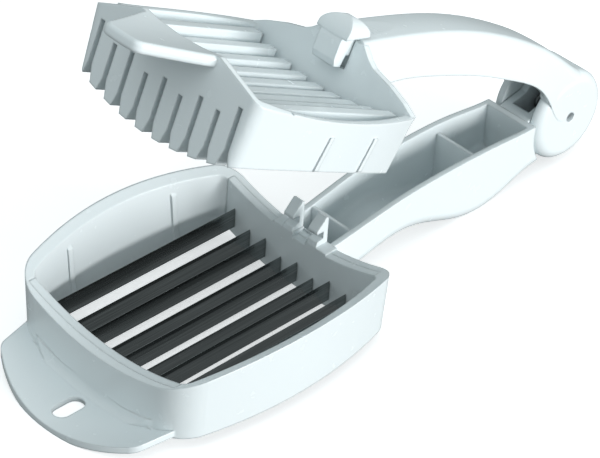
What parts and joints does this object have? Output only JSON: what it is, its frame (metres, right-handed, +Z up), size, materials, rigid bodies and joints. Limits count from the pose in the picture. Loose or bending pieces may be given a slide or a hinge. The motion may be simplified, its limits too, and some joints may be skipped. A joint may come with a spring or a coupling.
{
  "type": "egg slicer",
  "caption": "Tong-style egg slicer: a curved cradle of parallel steel blades with a slotted press on a sprung hinged arm, a slide latch and a slotted hanging tab.",
  "frame": {"origin": "under the middle of the open slicer, on the surface it rests on", "axes": "+X from the hanging tab to the hinge, +Y across the blades, +Z up; the arm is stored open, as it rests"},
  "size_m": [0.21, 0.079, 0.1126],
  "materials": {
    "white_body": "glossy moulded ABS",
    "white_arm": "glossy moulded ABS",
    "white_holder": "glossy moulded ABS",
    "white_latch": "glossy moulded ABS",
    "blade_steel": "rolled stainless strip, lengthwise grain, ground edge",
    "pin_steel": "satin steel rod",
    "spring_steel": "drawn spring wire"
  },
  "bodies": {
    "base": {"base_frame": "white_body", "front_blade_holder": "white_holder", "rear_blade_holder": "white_holder", "blade_1": "blade_steel", "blade_2": "blade_steel", "blade_3": "blade_steel", "blade_4": "blade_steel", "blade_5": "blade_steel", "blade_6": "blade_steel", "blade_7": "blade_steel", "blade_8": "blade_steel", "blade_9": "blade_steel", "hinge_pin": "pin_steel", "hinge_spring": "spring_steel"},
    "press": {"press_arm": "white_arm"},
    "latch": {"latch_slider": "white_latch"}
  },
  "joints": [
    {"name": "press_hinge", "type": "hinge", "parent": "base", "child": "press", "pos_m": [0.0906, 0, 0.0171], "axis": [0, -1, 0], "range_deg": [0, 25.9], "stiffness_Nm_per_rad": 0.15, "springref_deg": -45.84},
    {"name": "latch_slide", "type": "slide", "parent": "press", "child": "latch", "axis": [0.9613, 0, -0.2756], "range_m": [0, 0.004]}
  ]
}
